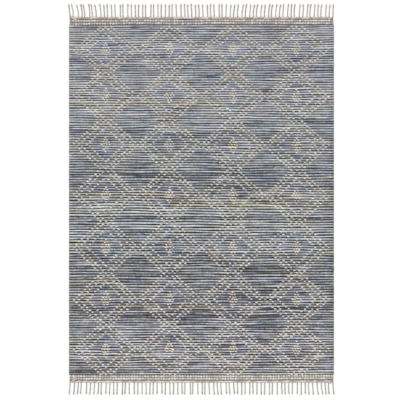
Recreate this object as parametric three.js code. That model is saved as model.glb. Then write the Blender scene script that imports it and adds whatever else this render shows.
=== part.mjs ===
// A flat-woven cotton rug. Thick weft ribs carry loops that draw a lattice of diamonds, a twined band
// closes each end, and the warp ends hang out as a knotted fringe. Sizes are in millimetres, +Z is up,
// X runs across the rug along the weft and Y along the warp, towards the head end. The origin is on
// the floor under the middle of the rug.

import * as THREE from 'three';
import { mergeVertices } from 'three/addons/utils/BufferGeometryUtils.js';

// Cloth
const WARP_PITCH = 12; // one group of warp yarns
const WARP_COUNT = 100;
const HALF_WIDTH = (WARP_PITCH * WARP_COUNT) / 2;
const RIB_HEIGHT = 7;
const RIB_UNEVENNESS = 0.4; // how far one rib stands above or below the next
const VALLEY_HEIGHT = 4.5;
const SELVEDGE_SCALLOP = 1.5; // how far the turn of each rib bulges past the valley beside it
const RIBS_PER_FLOOR_POINT = 12; // the straight edge on the floor needs few points

// How tightly the ribs are beaten together, from the head end to the foot end
const BEAT = [
  { ribs: 10, pitch: 10.4 },
  { ribs: 20, pitch: 10.5 },
  { ribs: 20, pitch: 11.05 },
  { ribs: 20, pitch: 11.4 },
  { ribs: 40, pitch: 11.85 },
  { ribs: 20, pitch: 11.2 },
  { ribs: 11, pitch: 11.35 },
];

// Diamonds, counted in warps from the centre of each and in ribs from its middle rib
const DIAMOND_COLUMNS = 4;
const DIAMOND_WARPS = 24;
const DIAMOND_RIBS = 20;
const OUTLINE_REACH = 11; // the middle of the double outline
const RELIEF_STEP = 2; // every second rib carries the relief, which stands for the loops of two ribs
const LOOP_HEIGHT = 10.5;

// Raised stretches of a rib, by kind: half the length at the foot and at the crown, in warps
const OUTLINE = { foot: 1.8, crown: 0 };
const MEETING = { foot: 2.8, crown: 1.6 };
const OUTER_CORNER = { foot: 1.7, crown: 0 };
const LOZENGE = { foot: 2.4, crown: 1.5 };
const SMALL_LOZENGE = { foot: 1.5, crown: 0 };

// Twined end bands
const BAND_LENGTH = 34;
const BAND_ROWS = 3;
const BAND_HEIGHT = 7.2;
const BAND_VALLEY_HEIGHT = 4.8;
const BAND_INSET = 2; // each end of a band lies this far inside the selvedge
const ARC_STEPS = 4; // flats that round off each twined row

// Fringes
const FRINGE_UNEVENNESS = 4.5; // the shortest strand is about this much shorter than the longest
const STRIP_LENGTH = 3; // the strip of web that holds the roots
const STRAND_WIDTH = 5;
const STRAND_HEIGHT = 4.4;
const KNOT_WIDTH = 7.2;
const KNOT_HEIGHT = 5.6;
const KNOT_TO_TIP = 7;
const KNOT_SLOPE = 4; // length over which a strand swells into its knot
const TIP_WIDTH = 4;
const TIP_HEIGHT = 3;
const KNOT_CLEARANCE = 0.8; // two knots side by side are at least this far apart
const ROOT_JITTER = 3.4;
const LEAN_JITTER = 1.5;
const OVERHANG = 6; // how far the outermost knot reaches past the selvedge
const BOW = 1; // sideways belly of a strand between root and tip
const BELLY_AT = 0.42; // share of the length at which a strand has its middle point
const STRANDS_PER_STRIP_POINT = 10;

const GAP = 0.3; // between pieces that touch

// Neighbouring strands lean alike: how far the tips lie to the right of the roots, across each fringe
const FRINGES = {
  head: {
    strands: 70,
    longest: 58.5,
    seed: 1207,
    leans: [
      { x: -600, lean: -8 },
      { x: -540, lean: -8 },
      { x: -430, lean: -5 },
      { x: -370, lean: -1.5 },
      { x: -200, lean: 0 },
      { x: -60, lean: -2.5 },
      { x: 70, lean: -1 },
      { x: 140, lean: 5 },
      { x: 260, lean: 6 },
      { x: 400, lean: 4 },
      { x: 600, lean: 3 },
    ],
  },
  foot: {
    strands: 67,
    longest: 54.5,
    seed: 4311,
    leans: [
      { x: -600, lean: -4 },
      { x: -540, lean: -6 },
      { x: -450, lean: -0.5 },
      { x: -180, lean: -0.5 },
      { x: -130, lean: -4 },
      { x: -50, lean: -4 },
      { x: 0, lean: 0 },
      { x: 380, lean: 0.5 },
      { x: 500, lean: 3 },
      { x: 600, lean: 5 },
    ],
  },
};
const RIB_SEED = 77;

// Undyed cotton is a warm off-white. The weft is a heathered denim blue that reads as blue-grey.
const weft = new THREE.MeshStandardMaterial({ color: 0x8c8f98, roughness: 0.95, metalness: 0 });
const undyed = new THREE.MeshStandardMaterial({ color: 0xd8d1c6, roughness: 0.92, metalness: 0 });
const warpEnds = new THREE.MeshStandardMaterial({ color: 0xcfc5b9, roughness: 0.92, metalness: 0 });

// Repeatable unevenness: numbers from -1 to 1, the same on every run
function makeWobble(seed) {
  const modulus = 2147483647;
  let state = seed;
  return () => {
    state = (state * 16807) % modulus;
    return (2 * state) / modulus - 1;
  };
}

// Adds the triangles between two lines of points that run the same way, along the shorter diagonals.
// They face the way that the lines run, crossed with the step from the second line to the first.
function skin(triangles, first, second) {
  let i = 0;
  let j = 0;
  while (i < first.length - 1 || j < second.length - 1) {
    const stepFirst = i < first.length - 1
      && (j === second.length - 1
        || first[i + 1].distanceTo(second[j]) < second[j + 1].distanceTo(first[i]));
    if (stepFirst) {
      triangles.push(second[j], first[i + 1], first[i]);
      i += 1;
    } else {
      triangles.push(second[j], second[j + 1], first[i]);
      j += 1;
    }
  }
}

function makeGeometry(triangles) {
  const loose = new THREE.BufferGeometry().setFromPoints(triangles);
  const geometry = mergeVertices(loose);
  geometry.computeVertexNormals();
  return geometry;
}

function nameMesh(name, geometry, material) {
  const mesh = new THREE.Mesh(geometry, material);
  mesh.name = name;
  return mesh;
}

// The ribs from the head end to the foot end, each with its edges and middle along Y. The head fringe is
// the longer one, so the cloth lies a little towards the foot end.
function layRibs() {
  const length = BEAT.reduce((sum, { ribs, pitch }) => sum + ribs * pitch, 0);
  const wobble = makeWobble(RIB_SEED);
  const list = [];
  let y = (length + FRINGES.foot.longest - FRINGES.head.longest) / 2;
  for (const { ribs, pitch } of BEAT) {
    for (let n = 0; n < ribs; n += 1) {
      const height = RIB_HEIGHT + RIB_UNEVENNESS * wobble();
      list.push({ start: y, middle: y - pitch / 2, end: y - pitch, height });
      y -= pitch;
    }
  }
  return list;
}

// The raised stretches of one rib, from left to right, each with its centre in warps
function raisedStretches(rib) {
  const fromMiddle = Math.abs((rib % DIAMOND_RIBS) - DIAMOND_RIBS / 2);
  if (fromMiddle % RELIEF_STEP !== 0) {
    return [];
  }
  const edge = (DIAMOND_COLUMNS * DIAMOND_WARPS) / 2;
  const centres = Array.from(
    { length: DIAMOND_COLUMNS },
    (_, column) => (column + 0.5) * DIAMOND_WARPS - edge,
  );
  if (fromMiddle === DIAMOND_RIBS / 2) {
    return centres.map((centre) => ({ centre, ...MEETING }));
  }
  const reach = OUTLINE_REACH - fromMiddle;
  if (fromMiddle > 0) {
    const middle = fromMiddle === RELIEF_STEP ? [{ offset: 0, shape: SMALL_LOZENGE }] : [];
    const spots = [{ offset: -reach, shape: OUTLINE }, ...middle, { offset: reach, shape: OUTLINE }];
    return centres.flatMap((centre) => (
      spots.map(({ offset, shape }) => ({ centre: centre + offset, ...shape }))
    ));
  }
  const corners = centres.slice(1).map((centre) => centre - DIAMOND_WARPS / 2);
  return [
    { centre: -edge + 1, ...OUTER_CORNER },
    ...centres.map((centre) => ({ centre, ...LOZENGE })),
    ...corners.map((centre) => ({ centre, ...MEETING })),
    { centre: edge - 1, ...OUTER_CORNER },
  ].sort((a, b) => a.centre - b.centre);
}

// The line along the top of a rib, lifted where loops stand
function crestLine(rib, stretches) {
  const at = (x, z) => new THREE.Vector3(x, rib.middle, z);
  const lifted = stretches.flatMap(({ centre, foot, crown }) => {
    const crowns = crown > 0 ? [-crown, crown] : [0];
    return [
      at((centre - foot) * WARP_PITCH, rib.height),
      ...crowns.map((offset) => at((centre + offset) * WARP_PITCH, LOOP_HEIGHT)),
      at((centre + foot) * WARP_PITCH, rib.height),
    ];
  });
  return [at(-HALF_WIDTH, rib.height), ...lifted, at(HALF_WIDTH, rib.height)];
}

// The line along the bottom of a valley, with a point beside each raised stretch of its neighbours
function valleyLine(y, stretches) {
  const edge = HALF_WIDTH - SELVEDGE_SCALLOP;
  const at = (x) => new THREE.Vector3(x, y, VALLEY_HEIGHT);
  return [at(-edge), ...stretches.map(({ centre }) => at(centre * WARP_PITCH)), at(edge)];
}

// The cloth is one solid: ribs and loops above, a flat underside below
function weaveField(ribs) {
  const triangles = [];
  const relief = ribs.map((_, index) => raisedStretches(index));
  const lines = [valleyLine(ribs[0].start, relief[0])];
  ribs.forEach((rib, index) => {
    const beside = relief[index].length > 0 ? relief[index] : relief[index + 1];
    lines.push(crestLine(rib, relief[index]));
    lines.push(valleyLine(rib.end, beside));
  });
  for (let n = 1; n < lines.length; n += 1) {
    skin(triangles, lines[n - 1], lines[n]);
  }

  const floorEdge = HALF_WIDTH - SELVEDGE_SCALLOP;
  const stations = ribs.filter((_, index) => index % RIBS_PER_FLOOR_POINT === 0).map((rib) => rib.start);
  stations.push(ribs[ribs.length - 1].end);
  stations.reverse();
  const leftFloor = stations.map((y) => new THREE.Vector3(-floorEdge, y, 0));
  const rightFloor = stations.map((y) => new THREE.Vector3(floorEdge, y, 0));
  const leftTop = lines.map((line) => line[0]).reverse();
  const rightTop = lines.map((line) => line[line.length - 1]).reverse();
  skin(triangles, leftFloor, leftTop);
  skin(triangles, rightTop, rightFloor);
  skin(triangles, rightFloor, leftFloor);
  skin(triangles, [leftFloor.at(-1), rightFloor.at(-1)], lines[0]);
  skin(triangles, lines.at(-1), [leftFloor[0], rightFloor[0]]);
  return makeGeometry(triangles);
}

// A band is the outline of its three twined rows, drawn across the rug
function twineBand() {
  const outline = new THREE.Shape();
  const rowLength = BAND_LENGTH / BAND_ROWS;
  outline.moveTo(0, 0);
  outline.lineTo(BAND_LENGTH, 0);
  for (let row = 0; row < BAND_ROWS; row += 1) {
    for (let step = 0; step <= ARC_STEPS; step += 1) {
      const share = step / ARC_STEPS;
      const rise = (BAND_HEIGHT - BAND_VALLEY_HEIGHT) * Math.sin(Math.PI * share);
      if (row === 0 || step > 0) {
        outline.lineTo(BAND_LENGTH - (row + share) * rowLength, BAND_VALLEY_HEIGHT + rise);
      }
    }
  }
  outline.closePath();
  const width = 2 * (HALF_WIDTH - BAND_INSET);
  const geometry = new THREE.ExtrudeGeometry(outline, { depth: width, bevelEnabled: false });
  // The outline's x becomes Y, its y becomes Z, and the extrusion runs along X
  const basis = new THREE.Matrix4().makeBasis(
    new THREE.Vector3(0, 1, 0),
    new THREE.Vector3(0, 0, 1),
    new THREE.Vector3(1, 0, 0),
  );
  return geometry.applyMatrix4(basis).translate(-width / 2, 0, 0);
}

function leanAt(leans, x) {
  const next = leans.findIndex((spot) => spot.x > x);
  const from = leans[next - 1];
  const to = leans[next];
  return THREE.MathUtils.mapLinear(x, from.x, to.x, from.lean, to.lean);
}

// Where each strand starts, leans and ends, from left to right
function placeStrands({ strands, longest, seed, leans }) {
  const wobble = makeWobble(seed);
  const outermostRoot = HALF_WIDTH - BAND_INSET - STRAND_WIDTH / 2 - GAP;
  const outermostTip = HALF_WIDTH + OVERHANG - KNOT_WIDTH / 2;
  const spacing = (2 * outermostRoot) / (strands - 1);
  const list = [];
  let leftmost = -outermostTip;
  for (let n = 0; n < strands; n += 1) {
    const even = n * spacing - outermostRoot;
    const root = THREE.MathUtils.clamp(even + ROOT_JITTER * wobble(), -outermostRoot, outermostRoot);
    const lean = leanAt(leans, root) + LEAN_JITTER * wobble();
    const tip = THREE.MathUtils.clamp(root + lean, leftmost, outermostTip);
    const bow = BOW * wobble();
    const length = longest - (FRINGE_UNEVENNESS / 2) * (1 + wobble());
    list.push({ root, tip, bow, length });
    leftmost = tip + KNOT_WIDTH + KNOT_CLEARANCE;
  }
  const missing = longest - Math.max(...list.map(({ length }) => length));
  return list.map((strand) => ({ ...strand, length: strand.length + missing }));
}

// The three-sided sections of a strand, from root to tip: its two points on the floor and its ridge
function strandSections({ root, tip, bow, length }) {
  const sections = [
    { y: 0, width: STRAND_WIDTH, height: STRAND_HEIGHT },
    { y: length * BELLY_AT, width: STRAND_WIDTH, height: STRAND_HEIGHT },
    { y: length - KNOT_TO_TIP - KNOT_SLOPE, width: STRAND_WIDTH, height: STRAND_HEIGHT },
    { y: length - KNOT_TO_TIP, width: KNOT_WIDTH, height: KNOT_HEIGHT },
    { y: length, width: TIP_WIDTH, height: TIP_HEIGHT },
  ];
  return sections.map(({ y, width, height }) => {
    const share = y / length;
    const x = root + (tip - root) * share * share + bow * Math.sin(Math.PI * share);
    return {
      left: new THREE.Vector3(x - width / 2, STRIP_LENGTH + y, 0),
      right: new THREE.Vector3(x + width / 2, STRIP_LENGTH + y, 0),
      ridge: new THREE.Vector3(x, STRIP_LENGTH + y, height),
    };
  });
}

// A fringe lies along +Y from the inner edge of its strip, at y = 0
function knotFringe(fringe) {
  const triangles = [];
  const edge = HALF_WIDTH - BAND_INSET;
  const strands = placeStrands(fringe).map(strandSections);
  for (const sections of strands) {
    for (let n = 1; n < sections.length; n += 1) {
      const near = sections[n - 1];
      const far = sections[n];
      skin(triangles, [far.left, far.ridge], [near.left, near.ridge]);
      skin(triangles, [far.ridge, far.right], [near.ridge, near.right]);
      skin(triangles, [near.left, near.right], [far.left, far.right]);
    }
    const { left, right, ridge } = sections.at(-1);
    triangles.push(left, ridge, right);
  }

  const line = (xs, y, z) => xs.map((x) => new THREE.Vector3(x, y, z));
  const roots = strands.map((sections) => sections[0]);
  const held = roots.filter((_, n) => n % STRANDS_PER_STRIP_POINT === STRANDS_PER_STRIP_POINT / 2);
  const innerX = [-edge, ...held.map(({ ridge }) => ridge.x), edge];
  const innerTop = line(innerX, 0, STRAND_HEIGHT);
  const innerFloor = line(innerX, 0, 0);
  const topCorners = line([-edge, edge], STRIP_LENGTH, STRAND_HEIGHT);
  const floorCorners = line([-edge, edge], STRIP_LENGTH, 0);
  const outerTop = [topCorners[0], ...roots.map(({ ridge }) => ridge), topCorners[1]];
  const outerFloor = [
    floorCorners[0],
    ...roots.flatMap(({ left, right }) => [left, right]),
    floorCorners[1],
  ];
  skin(triangles, outerTop, innerTop);
  skin(triangles, innerTop, innerFloor);
  skin(triangles, innerFloor, outerFloor);
  for (let n = 0; n <= roots.length; n += 1) {
    const floor = [outerFloor[2 * n], outerFloor[2 * n + 1]];
    skin(triangles, floor, [outerTop[n], outerTop[n + 1]]);
  }
  skin(triangles, [innerFloor[0], outerFloor[0]], [innerTop[0], outerTop[0]]);
  skin(triangles, [innerTop.at(-1), outerTop.at(-1)], [innerFloor.at(-1), outerFloor.at(-1)]);
  return makeGeometry(triangles);
}

// One end of the rug: its band and its fringe, laid out along +Y from the edge of the cloth
function makeEnd(end, clothEdge) {
  const group = new THREE.Group();
  const band = nameMesh(`end_band_${end}`, twineBand(), undyed);
  band.position.y = clothEdge + GAP;
  const fringe = nameMesh(`fringe_${end}`, knotFringe(FRINGES[end]), warpEnds);
  fringe.position.y = clothEdge + GAP + BAND_LENGTH + GAP;
  group.add(band, fringe);
  return group;
}

const rug = new THREE.Group();
const ribs = layRibs();
rug.add(nameMesh('woven_field', weaveField(ribs), weft));
rug.add(makeEnd('head', ribs[0].start));
const foot = makeEnd('foot', -ribs.at(-1).end);
foot.rotation.z = Math.PI;
rug.add(foot);

export default rug;
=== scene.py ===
import math
from typing import NamedTuple

import bmesh
import bpy
import numpy as np
from mathutils import Matrix, Vector, noise


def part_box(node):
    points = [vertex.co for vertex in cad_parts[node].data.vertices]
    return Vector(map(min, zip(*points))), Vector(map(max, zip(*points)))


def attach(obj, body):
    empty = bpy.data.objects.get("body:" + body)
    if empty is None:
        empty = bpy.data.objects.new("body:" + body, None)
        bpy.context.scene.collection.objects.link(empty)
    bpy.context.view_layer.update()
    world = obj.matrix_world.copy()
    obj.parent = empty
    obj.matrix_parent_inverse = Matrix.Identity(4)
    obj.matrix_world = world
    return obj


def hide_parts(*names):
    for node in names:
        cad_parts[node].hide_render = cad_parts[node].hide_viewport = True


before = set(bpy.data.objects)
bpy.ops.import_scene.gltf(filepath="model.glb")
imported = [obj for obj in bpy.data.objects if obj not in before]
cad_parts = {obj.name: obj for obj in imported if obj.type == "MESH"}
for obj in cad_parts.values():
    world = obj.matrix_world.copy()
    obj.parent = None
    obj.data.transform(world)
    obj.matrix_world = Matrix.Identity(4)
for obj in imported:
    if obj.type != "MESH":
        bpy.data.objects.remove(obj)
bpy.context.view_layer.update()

MM = 0.001

# The weave
WARP_PITCH = 12 * MM
RIB_CREST = 7.0 * MM
RIB_CREASE = 2.2 * MM      # the crease is deeper than the solid's valley, where yarn meets yarn
CLOTH_MIDDLE = 3.2 * MM    # height at which the weft turns round the outermost warp
SELVEDGE_SCALLOP = 1.5 * MM
LOOP_TOP = 10.4 * MM


class Beat(NamedTuple):
    """A stretch of ribs that were beaten down alike."""
    ribs: int
    pitch: float


# From the head end to the foot end
BEATS = (
    Beat(10, 10.4 * MM),
    Beat(20, 10.5 * MM),
    Beat(20, 11.05 * MM),
    Beat(20, 11.4 * MM),
    Beat(40, 11.85 * MM),
    Beat(20, 11.2 * MM),
    Beat(11, 11.35 * MM),
)

# Diamonds, counted in warps and ribs
DIAMOND_COLUMNS = 4
DIAMOND_WARPS = 24
DIAMOND_RIBS = 20
OUTLINES = (10, 12)        # the double outline: warps and ribs from the centre, added
INNER_OUTLINE = 7


def put(collection_object):
    """Links an object to the scene and returns it."""
    bpy.context.scene.collection.objects.link(collection_object)
    return collection_object


def linear(code):
    """An sRGB hex colour as linear RGBA."""
    channels = [int(code[n:n + 2], 16) / 255 for n in (1, 3, 5)]
    curve = [c / 12.92 if c <= 0.04045 else ((c + 0.055) / 1.055) ** 2.4 for c in channels]
    return (*curve, 1.0)


def add_node(tree, kind, settings=None, inputs=None, stops=None):
    """Adds a shader node. Inputs are values, or the sockets that feed them, and stops a ramp's colours."""
    made = tree.nodes.new(kind)
    for name, value in (settings or {}).items():
        setattr(made, name, value)
    for key, value in (inputs or {}).items():
        if isinstance(value, bpy.types.NodeSocket):
            tree.links.new(value, made.inputs[key])
        else:
            made.inputs[key].default_value = value
    if stops:
        elements = made.color_ramp.elements
        while len(elements) < len(stops):
            elements.new(1.0)
        for element, (place, colour) in zip(elements, stops):
            element.position = place
            element.color = colour
    return made


def start_material(name):
    """A new material with an empty tree, as the material and its tree."""
    material = bpy.data.materials.new(name)
    material.use_nodes = True
    material.node_tree.nodes.clear()
    return material, material.node_tree


# Ribs

def rib_edges():
    """Where each rib starts, from the head end, with the far edge of the last one."""
    low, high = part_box("woven_field")
    edges = [high.y]
    for beat in BEATS:
        for _ in range(beat.ribs):
            edges.append(edges[-1] - beat.pitch)
    return edges


RIB_EDGES = rib_edges()
RIB_COUNT = len(RIB_EDGES) - 1
HALF_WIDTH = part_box("woven_field")[1].x


class Tilt(NamedTuple):
    """How far the right-hand end of a rib lies above its middle."""
    rib: float
    rise: float


# Handwork: the beater wasn't held quite square
TILTS = (
    Tilt(0, 0),
    Tilt(10, 3 * MM),
    Tilt(30, -2.5 * MM),
    Tilt(50, -2.5 * MM),
    Tilt(70, -5 * MM),
    Tilt(90, 0),
    Tilt(110, 1 * MM),
    Tilt(141, 0),
)
HEAD_SAG = 4.0 * MM        # how far the beat lines hang at the left of the head end
SAG_RIBS = 16              # ribs over which that hang dies out
SAG_START = 150 * MM       # how far left of the middle it begins
# How far the first rib is pushed towards the foot end, by place across the rug, in millimetres
FIRST_RIB_DROPS = (
    (-600, 4.5), (-350, 4.5), (-320, 2.4), (-20, 2.4), (10, 0), (350, 0), (380, 2.3), (515, 2.3), (545, 0),
)
DROP_RIBS = 3              # ribs over which that push dies out
STRAIGHTER_RIBS = 3        # the outermost ones of each end wander less


class Unevenness(NamedTuple):
    """Handwork that varies smoothly: by how much, over what length along a rib, how soon from one rib to
    the next, and its seed."""
    amount: float
    length: float
    per_rib: float
    seed: float


WANDER = Unevenness(2.3 * MM, 130 * MM, 0.7, 3.1)
SLOW_WANDER = Unevenness(4.0 * MM, 260 * MM, 0.12, 5.7)
FULLNESS = Unevenness(0.16, 35 * MM, 0.45, 8.4)
LOOP_HUE = Unevenness(2.4, 70 * MM, 0.25, 9.2)


def vary(unevenness, x, rib):
    """An unevenness at a point across a rib, between minus and plus its amount."""
    spot = Vector((x / unevenness.length, rib * unevenness.per_rib, unevenness.seed))
    return unevenness.amount * noise.noise(spot)


def spread(pairs, x):
    """A measure that changes across the rug, given as pairs of places and sizes, both in millimetres."""
    return float(np.interp(x / MM, *zip(*pairs))) * MM


def head_sag(x):
    """How far a beat line next to the head band hangs towards the foot end."""
    return HEAD_SAG * max(0.0, -x - SAG_START) / (HALF_WIDTH - SAG_START)


def drift(x, rib):
    """How far the weave lies from its even place, along Y, at a point across a rib."""
    rise = float(np.interp(rib, [t.rib for t in TILTS], [t.rise for t in TILTS]))
    fade = max(0.0, min(1.0, rib / STRAIGHTER_RIBS, (RIB_COUNT - rib) / STRAIGHTER_RIBS))
    wave = vary(WANDER, x, rib) + vary(SLOW_WANDER, x, rib)
    sag = head_sag(x) * max(0.0, 1 - rib / SAG_RIBS)
    drop = spread(FIRST_RIB_DROPS, x) * max(0.0, min(2 * rib, 1 - rib / DROP_RIBS))
    return rise * x / HALF_WIDTH + (wave - sag) * fade - drop


def place_on_rib(x, rib):
    """Y of a point across the rug, on a rib counted with its fraction."""
    return float(np.interp(rib, range(RIB_COUNT + 1), RIB_EDGES)) + drift(x, rib)


# Cloth

# Across one rib: share of its pitch and share of its rise from the crease
RIB_PROFILE = (
    (0.0, 0.0),
    (0.10, 0.52),
    (0.28, 0.92),
    (0.50, 1.0),
    (0.72, 0.92),
    (0.90, 0.52),
)
RIBS_PER_UNDERSIDE_POINT = 3
CLOTH_COLUMNS = 102
# The outer columns round off the selvedge: how far in each lies and how thick the cloth is there
SELVEDGE_COLUMNS = ((0.0, 0.10), (1.6 * MM, 0.62), (5.0 * MM, 0.93))


def column_x(column):
    """X of a column of the cloth, and the share of its thickness there."""
    from_edge = min(column, CLOTH_COLUMNS - column)
    side = -1 if column < CLOTH_COLUMNS / 2 else 1
    if from_edge < len(SELVEDGE_COLUMNS):
        inset, share = SELVEDGE_COLUMNS[from_edge]
        return side * (HALF_WIDTH - inset), share
    inner = len(SELVEDGE_COLUMNS)
    reach = HALF_WIDTH - SELVEDGE_COLUMNS[-1][0]
    step = 2 * reach / (CLOTH_COLUMNS - 2 * (inner - 1))
    return -reach + step * (column - inner + 1), 1.0


def weave_cloth():
    """The ribbed cloth, one closed sheet with a flat underside."""
    bm = bmesh.new()
    rib_layer = bm.verts.layers.float.new("rib")
    tone_layer = bm.verts.layers.float.new("tone")
    warmth_layer = bm.verts.layers.float.new("warmth")
    outline = []

    def add_point(rib, share, height):
        vert = bm.verts.new((0, rib, height))
        vert[rib_layer] = rib + share
        outline.append(vert)

    for rib in range(RIB_COUNT):
        for share, rise in RIB_PROFILE:
            add_point(rib, share, RIB_CREASE + (RIB_CREST - RIB_CREASE) * rise)
    add_point(RIB_COUNT, 0, RIB_CREASE)
    for rib in range(RIB_COUNT, -1, -RIBS_PER_UNDERSIDE_POINT):
        add_point(rib, 0, 0)
    for first, second in zip(outline, outline[1:] + outline[:1]):
        bm.edges.new((first, second))
    bmesh.ops.spin(
        bm, geom=bm.edges[:], cent=(0, 0, 0), axis=(1, 0, 0), dvec=(1, 0, 0),
        angle=0, steps=CLOTH_COLUMNS, use_merge=False,
    )
    bmesh.ops.holes_fill(bm, edges=[e for e in bm.edges if e.is_boundary], sides=0)

    for vert in bm.verts:
        x, thickness = column_x(round(vert.co.x))
        rib = vert[rib_layer]
        height = vert.co.z
        arch = 1 - (2 * (rib % 1) - 1) ** 2
        if height > 0:
            height += (height - RIB_CREASE) * vary(FULLNESS, x, rib)
        if thickness < 1:
            x -= math.copysign(SELVEDGE_SCALLOP * (1 - arch) * (1 - thickness), x)
        height = CLOTH_MIDDLE + (height - CLOTH_MIDDLE) * thickness
        vert[tone_layer], vert[warmth_layer] = yarn_shade(min(int(rib), RIB_COUNT - 1), x)
        vert.co = (x, place_on_rib(x, rib), height)
    bmesh.ops.recalc_face_normals(bm, faces=bm.faces[:])
    for face in bm.faces:
        face.smooth = True
    mesh = bpy.data.meshes.new("ribbed_cloth")
    bm.to_mesh(mesh)
    bm.free()
    return put(bpy.data.objects.new("ribbed_cloth", mesh))


# Repeats

class Copy(NamedTuple):
    """One copy of a template: its place, how light it is, from 0 to 1, and how warm, from -1 to 1."""
    matrix: Matrix
    tone: float
    warmth: float = 0.0


def repeat(name, template, copies):
    """One mesh that joins a copy of the template for each place. The template is freed."""
    size = len(template.vertices)
    corners = np.empty(len(template.loops), np.int32)
    template.loops.foreach_get("vertex_index", corners)
    starts = np.empty(len(template.polygons), np.int32)
    template.polygons.foreach_get("loop_start", starts)
    points = np.empty(size * 3)
    template.vertices.foreach_get("co", points)
    points = np.c_[points.reshape(-1, 3), np.ones(size)]
    number = len(copies)
    placed = np.concatenate([points @ np.array(c.matrix).T[:, :3] for c in copies])
    mesh = bpy.data.meshes.new(name)
    mesh.vertices.add(size * number)
    mesh.vertices.foreach_set("co", placed.ravel())
    mesh.loops.add(len(corners) * number)
    shifts = np.arange(number, dtype=np.int32)
    mesh.loops.foreach_set("vertex_index", (corners + shifts[:, None] * size).ravel())
    mesh.polygons.add(len(starts) * number)
    mesh.polygons.foreach_set("loop_start", (starts + shifts[:, None] * len(corners)).ravel())
    mesh.update(calc_edges=True)
    mesh.validate()
    mesh.polygons.foreach_set("use_smooth", [True] * len(mesh.polygons))
    for key in ("tone", "warmth"):
        shade = mesh.attributes.new(key, "FLOAT", "POINT")
        shade.data.foreach_set("value", np.repeat([getattr(c, key) for c in copies], size))
    along = mesh.attributes.new("along", "FLOAT_VECTOR", "POINT")
    along.data.foreach_set("vector", np.tile(points[:, :3], (number, 1)).ravel())
    bpy.data.meshes.remove(template)
    return put(bpy.data.objects.new(name, mesh))


def finish_template(bm):
    """Turns a bmesh into a template mesh, with its faces turned outwards."""
    bmesh.ops.recalc_face_normals(bm, faces=bm.faces[:])
    mesh = bpy.data.meshes.new("template")
    bm.to_mesh(mesh)
    bm.free()
    return mesh


def slab(name, low, high, bevel):
    """A flat block with rounded edges between two corners."""
    bm = bmesh.new()
    bmesh.ops.create_cube(bm, size=1)
    bmesh.ops.scale(bm, verts=bm.verts[:], vec=high - low)
    bmesh.ops.translate(bm, verts=bm.verts[:], vec=(low + high) / 2)
    bmesh.ops.bevel(
        bm, geom=bm.edges[:], offset=bevel, segments=2, profile=0.5, affect="EDGES", material=-1,
    )
    mesh = bpy.data.meshes.new(name)
    bm.to_mesh(mesh)
    bm.free()
    return put(bpy.data.objects.new(name, mesh))


def make_wobble(seed):
    """Repeatable unevenness: numbers from -1 to 1, the same on every run."""
    state = seed

    def wobble():
        nonlocal state
        state = (state * 16807) % 2147483647
        return 2 * state / 2147483647 - 1

    return wobble


# Loops

LOOP_REACH = 3.9 * MM      # from the middle of a loop to the middle of its yarn at the foot
LOOP_YARN = 2.9 * MM       # radius
LOOP_SAG = 0.24            # share of a rib by which a loop leans towards the foot end
LOOP_SIDES = 8
LOOP_STEPS = 6
LOOP_TWIST = 1.5           # turns of its two plies from foot to foot
LOOP_GROOVE = 0.20         # how far the groove between the plies cuts in
SMALL_LOOP = 0.82          # the close loops of a lozenge, beside the others
WHITER_BY = 0.45           # the loops near the foot end are from a lighter lot of yarn
WHITER_FROM = 0.85         # as a share of the ribs, from the head end
LOOP_SEED = 915
LOOP_SHIFT = -0.8 * MM     # from its warp, the way that its twist pulls it
LOOP_JITTER_X = 2.0 * MM
LOOP_JITTER_Y = 1.3 * MM
LOOP_SIZE_JITTER = 0.12
LOOP_FATNESS = 1.02        # its size across the rib, beside that along it
LOOP_FATNESS_JITTER = 0.10
LOOP_HEIGHT_JITTER = 0.08
LOOP_TURN = -8             # degrees
LOOP_TURN_JITTER = 15
LOOP_FOOT = RIB_CREST * 0.62
LOOP_TONE_JITTER = 0.35


def loop_template():
    """A fat yarn bent over in a half ring, its two ends closed inside the cloth."""
    bm = bmesh.new()
    ring = bmesh.ops.create_circle(bm, segments=LOOP_SIDES, radius=LOOP_YARN, cap_ends=False)
    bmesh.ops.translate(bm, verts=ring["verts"], vec=(LOOP_REACH, 0, 0))
    bmesh.ops.spin(
        bm, geom=bm.edges[:], cent=(0, 0, 0), axis=(0, -1, 0), dvec=(0, 0, 0),
        angle=math.pi, steps=LOOP_STEPS, use_merge=False,
    )
    bmesh.ops.holes_fill(bm, edges=[e for e in bm.edges if e.is_boundary], sides=0)
    for vert in bm.verts:
        along = math.atan2(vert.co.z, vert.co.x)
        centre = Vector((math.cos(along), 0, math.sin(along))) * LOOP_REACH
        from_centre = vert.co - centre
        around = math.atan2(vert.co.y, from_centre.dot(centre))
        groove = math.sin(around + LOOP_TWIST * along * 2) ** 2
        vert.co = centre + from_centre * (1 - LOOP_GROOVE * groove)
    return finish_template(bm)


def loops_on_rib(rib):
    """The loops that stand on a rib of one diamond, as their kind and warps from its centre."""
    from_middle = abs(rib % DIAMOND_RIBS - DIAMOND_RIBS // 2)
    found = []
    if from_middle == DIAMOND_RIBS // 2:
        return [("outer", -2), ("outer", 0), ("outer", 2)]
    for kind, total in zip(("middle", "outer"), OUTLINES):
        found += [(kind, total - from_middle), (kind, from_middle - total)]
    if from_middle == INNER_OUTLINE:
        found.append(("inner", 0))
    elif from_middle < INNER_OUTLINE:
        found += [("inner", INNER_OUTLINE - from_middle), ("inner", from_middle - INNER_OUTLINE)]
    width = 3 - from_middle
    found += [("lozenge", n - width / 2) for n in range(width + 1)]
    return found


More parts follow.
